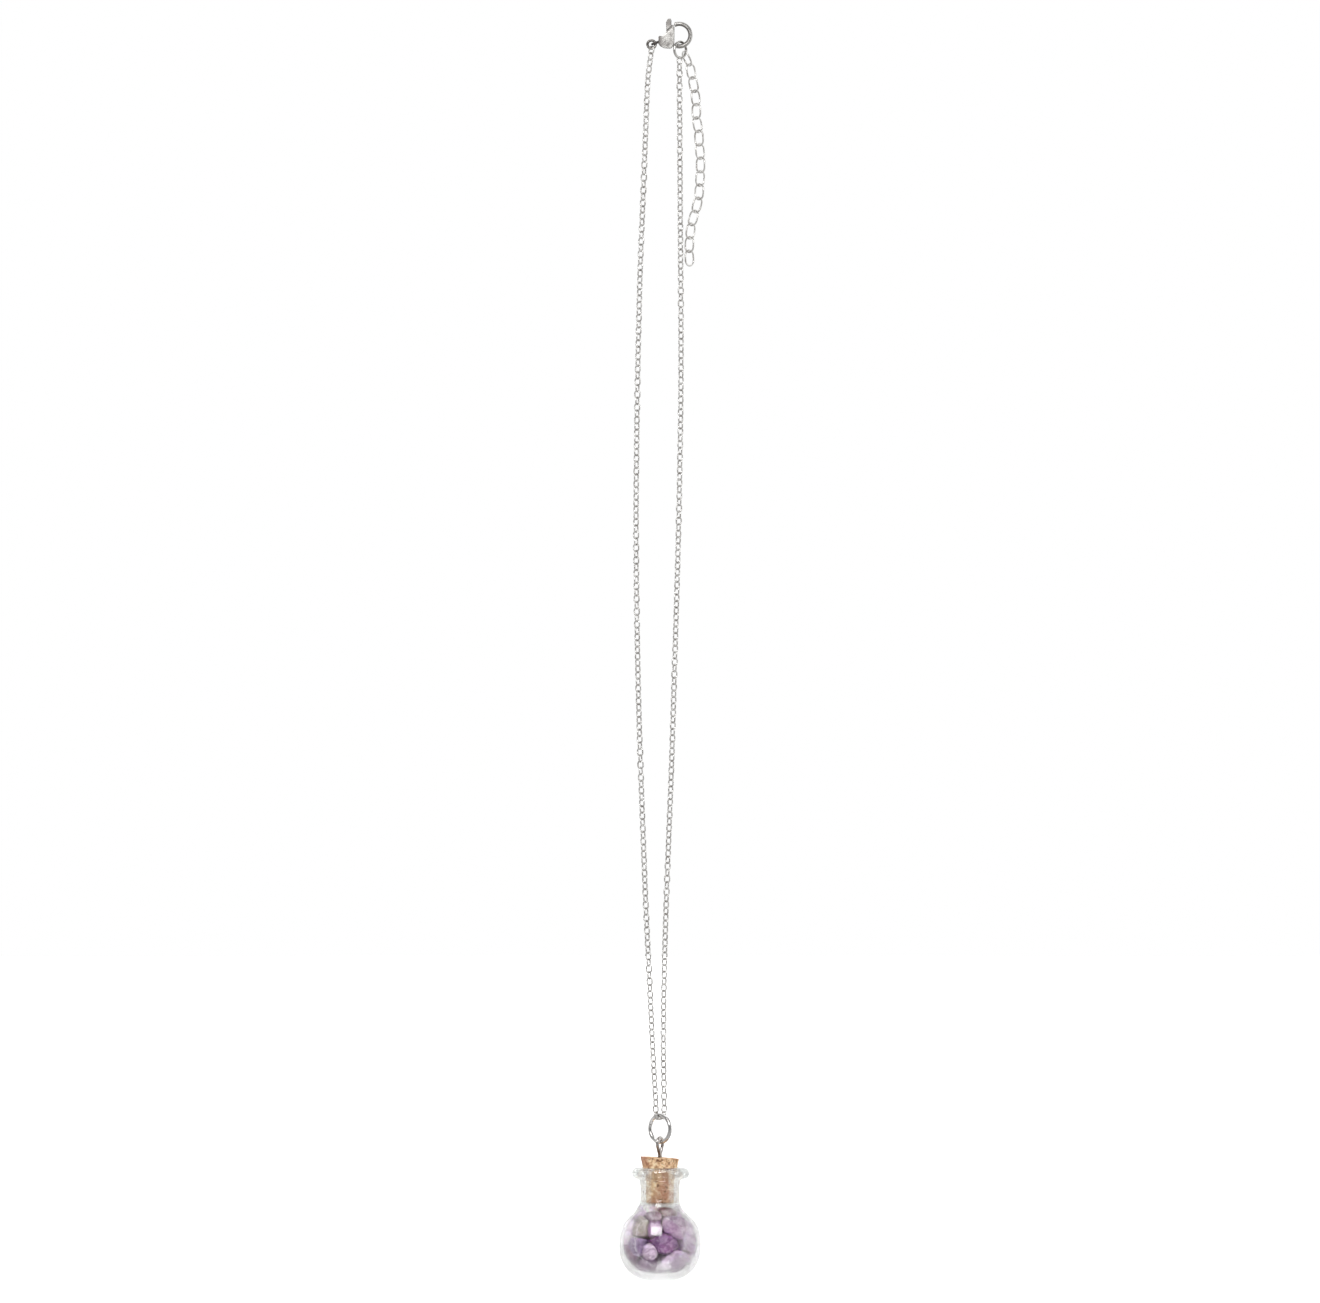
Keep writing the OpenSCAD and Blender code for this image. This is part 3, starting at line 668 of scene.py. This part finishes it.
# Stones. Tumbled amethyst chips, poured in loose. Deep violet, lilac and pale ones lie
# mixed, each cloudy inside, with worn edges and a waxy shine.
STONE_GRAIN = 0.2 * MM
STONE_SWELL = 0.07 * MM
cloud, given = make_group("amethyst_cloud", [
    ("Deep", "Color", (0.1, 0.05, 0.15, 1)), ("Middle", "Color", (0.3, 0.2, 0.4, 1)),
    ("Milky", "Color", (0.7, 0.6, 0.7, 1)), ("Scale", "Float", 260.0), ("Milk", "Float", 0.5),
    ("Flaws", "Float", 0.6)])
place = wire_up(cloud, "ShaderNodeTexCoord").outputs["Object"]
zones = noise(cloud, place, given["Scale"], 3, 0.55, 0.6)
body_tone = mixed(cloud, between(cloud, zones, 0.32, 0.68), given["Deep"], given["Middle"])
veins = noise(cloud, place, 520, 4, 0.7, 1.4)
milk = combine(cloud, between(cloud, veins, 0.49, 0.69), given["Milk"], "MULTIPLY")
# Healed cracks catch the light as thin pale lines in some of the zones
cracks = wire_up(cloud, "ShaderNodeTexVoronoi", {"Vector": place, "Scale": 330, "Randomness": 1},
                 feature="DISTANCE_TO_EDGE")
lines = between(cloud, cracks.outputs["Distance"], 0.07, 0)
seen_lines = combine(cloud, lines, between(cloud, zones, 0.5, 0.62), "MULTIPLY")
flaws = combine(cloud, seen_lines, given["Flaws"], "MULTIPLY")
paleness = combine(cloud, milk, flaws, "MAXIMUM")
finish_group(cloud, mixed(cloud, paleness, body_tone, given["Milky"]),
             between(cloud, veins, 0, 1, 0.14, 0.4),
             bumped(cloud, noise(cloud, place, 1500, 3), 0.3, 0.08 * MM))


def amethyst(name, deep, middle, milky, milk):
    """Cloudy stone in three tones; milk is how strong its pale veins are"""
    material, shader = with_look(name, cloud, {
        "Deep": (*deep, 1), "Middle": (*middle, 1), "Milky": (*milky, 1), "Milk": milk})
    shader.inputs["IOR"].default_value = 1.54
    shader.inputs["Subsurface Weight"].default_value = 0.8
    shader.inputs["Subsurface Radius"].default_value = (0.6, 0.4, 0.8)
    shader.inputs["Subsurface Scale"].default_value = 0.0016
    return material


# The slot of each kind of stone, its name, its deep, middle and milky tone, and its milk
KINDS = {
    "violet": ("stone_violet", "violet_amethyst", (0.1, 0.035, 0.12), (0.29, 0.125, 0.28),
               (0.52, 0.34, 0.52), 0.55),
    "blue": ("stone_violet", "bluish_amethyst", (0.1, 0.055, 0.14), (0.32, 0.21, 0.35),
             (0.58, 0.46, 0.61), 0.5),
    "dusk": ("stone_violet", "dusky_amethyst", (0.1, 0.05, 0.1), (0.24, 0.115, 0.2),
             (0.43, 0.27, 0.38), 0.5),
    "smoky": ("stone_violet", "smoky_amethyst", (0.12, 0.06, 0.09), (0.26, 0.15, 0.22),
              (0.43, 0.3, 0.4), 0.6),
    "lilac": ("stone_lilac", "lilac_amethyst", (0.18, 0.1, 0.18), (0.34, 0.205, 0.33),
              (0.6, 0.44, 0.58), 0.65),
    "umber": ("stone_lilac", "umber_amethyst", (0.14, 0.07, 0.09), (0.26, 0.155, 0.19),
              (0.41, 0.29, 0.33), 0.6),
    "pale": ("stone_pale", "pale_amethyst", (0.3, 0.21, 0.3), (0.5, 0.37, 0.5),
             (0.76, 0.62, 0.76), 0.7),
    "frost": ("stone_pale", "frosty_amethyst", (0.54, 0.42, 0.54), (0.84, 0.7, 0.84),
              (1, 0.93, 1), 0.75),
    "sand": ("stone_pale", "sandy_quartz", (0.21, 0.17, 0.15), (0.37, 0.3, 0.29),
             (0.57, 0.49, 0.49), 0.7),
}
stone_looks = {kind: (amethyst(*values), slot) for kind, (slot, *values) in KINDS.items()}
# Kinds of the stones in front, in the order of their numbers; those behind take turns
SHADES = ["sand", "frost", "smoky", "lilac", "lilac", "pale", "violet", "blue", "pale", "dusk", "lilac",
          "pale", "dusk", "frost", "umber", "pale", "frost"]
BEHIND = ["dusk", "pale", "lilac", "violet", "frost", "umber"]
stone_names = sorted(name for name in nodes if name.startswith("stone_"))
for i, node in enumerate(stone_names):
    stone = softened(node, node.replace("stone_", "chip_"), STONE_GRAIN, 2)
    swell = stone.modifiers.new("seated", "DISPLACE")
    swell.strength, swell.mid_level = STONE_SWELL, 0
    bpy.ops.object.modifier_apply(modifier=swell.name)
    kind = SHADES[i] if i < len(SHADES) else BEHIND[(i + 1) % len(BEHIND)]
    finish_with(stone, *stone_looks[kind])
    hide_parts(node)
    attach(stone, "bottle")

# Lamps. Plain soft light from one broad window to the upper left of the camera and two
# panels. The two glint lamps light nothing but the glass, as window reflections do.
LAMPS = (  # name, width and height, place, height it points at, power, lights the rest too
    ("window", (0.6, 0.54), (-0.177, -0.877, 0.365), -0.2, 6.5, True),
    ("side_panel", (0.9, 1.2), (1.3, -0.2, 0.0), -0.2, 3, True),
    ("top_panel", (1.4, 1.4), (0.0, 0.3, 1.5), -0.2, 6, True),
    ("window_glint", (0.6, 0.54), (-0.178, -0.88, 0.366), -0.2, 11, False),
    ("table_glint", (0.075, 0.05), (0.02, -0.058, -0.4), -0.28, 0.11, False))
glass_only = bpy.data.collections.new("glass_only")
glass_only.objects.link(bottle)
for name, size, spot, aim_z, power, lights_all in LAMPS:
    data = bpy.data.lights.new(name, "AREA")
    data.shape, data.size, data.size_y, data.energy = "RECTANGLE", *size, power
    lamp = bpy.data.objects.new(name, data)
    bpy.context.scene.collection.objects.link(lamp)
    lamp.location = spot
    way = Vector((0, 0, aim_z)) - lamp.location
    lamp.rotation_euler = way.to_track_quat("-Z", "Y").to_euler()
    lamp.visible_camera = False
    lamp.visible_diffuse = lamp.visible_transmission = lights_all
    if not lights_all:
        lamp.light_linking.receiver_collection = glass_only

# Floor. A round of white paper below the hanging necklace. It glows a little, so that no
# shadow or edge shows on it, and it isn't seen in the metal or through the glass.
FLOOR_Z, FLOOR_R = -0.42, 9
bpy.ops.object.select_all(action="DESELECT")
bpy.ops.mesh.primitive_circle_add(vertices=64, radius=FLOOR_R, fill_type="NGON", location=(0, 0, FLOOR_Z))
floor = bpy.context.object
floor.name = "floor"
apply_place(floor)
paper = bpy.data.materials.new("white_paper")
tree, shader = tree_of(paper)
fibre = wire_up(tree, "ShaderNodeTexNoise", {"Scale": 40, "Detail": 3}).outputs["Fac"]
tree.links.new(ramp(tree, fibre, [(0.3, 0.93), (0.7, 0.96)]), shader.inputs["Base Color"])
shader.inputs["Roughness"].default_value = 0.9
shader.inputs["Emission Color"].default_value = (1, 1, 1, 1)
shader.inputs["Emission Strength"].default_value = 0.9
floor.data.materials.append(paper)
floor.visible_glossy = floor.visible_transmission = floor.visible_diffuse = False

# Room. White where the camera looks past the object, and graded from a dim front to a
# pale back in what the metal mirrors. Seen through the glass it is paler.
world = bpy.data.worlds.new("studio")
bpy.context.scene.world = world
world.use_nodes = True
tree = world.node_tree
background = tree.nodes["Background"]
way = wire_up(tree, "ShaderNodeTexCoord").outputs["Generated"]
axes = wire_up(tree, "ShaderNodeSeparateXYZ", {"Vector": way}).outputs
ahead = between(tree, axes["Y"], -1, 1)
mirrored = ramp(tree, ahead, [(0.0, 0.1), (0.2, 0.2), (0.42, 0.45), (0.6, 0.8), (0.75, 1.0)])
lower = wire_up(tree, "ShaderNodeMapRange", {"Value": axes["Z"], "From Min": 0.3, "From Max": -0.7},
                interpolation_type="SMOOTHSTEP")
from_below = mixed(tree, lower.outputs["Result"], mirrored, (0.75, 0.75, 0.75))
light_path = wire_up(tree, "ShaderNodeLightPath").outputs
paler = ramp(tree, ahead, [(0.0, 0.84), (0.3, 0.93), (0.5, 0.98), (0.75, 1.0)])
through = mixed(tree, light_path["Is Transmission Ray"], from_below, paler)
shown = mixed(tree, light_path["Is Camera Ray"], through, (1, 1, 1))
tree.links.new(shown, background.inputs["Color"])
background.inputs["Strength"].default_value = 1
bpy.context.scene.view_settings.view_transform = "Standard"

# Camera. Square on to the necklace and far off, as for a catalogue picture, with a long
# lens that takes in just the width of the frame.
FRAME_WIDE = 0.3036
FAR = 3.0
CAMERA_Z = -0.13927
SENSOR = 36
camera_data = bpy.data.cameras.new("camera")
camera = bpy.data.objects.new("camera", camera_data)
bpy.context.scene.collection.objects.link(camera)
bpy.context.scene.camera = camera
camera.location = (0, -FAR, CAMERA_Z)
camera.rotation_euler = (math.pi / 2, 0, 0)
camera_data.sensor_width = SENSOR
camera_data.lens = SENSOR * FAR / FRAME_WIDE
camera_data.clip_end = 60
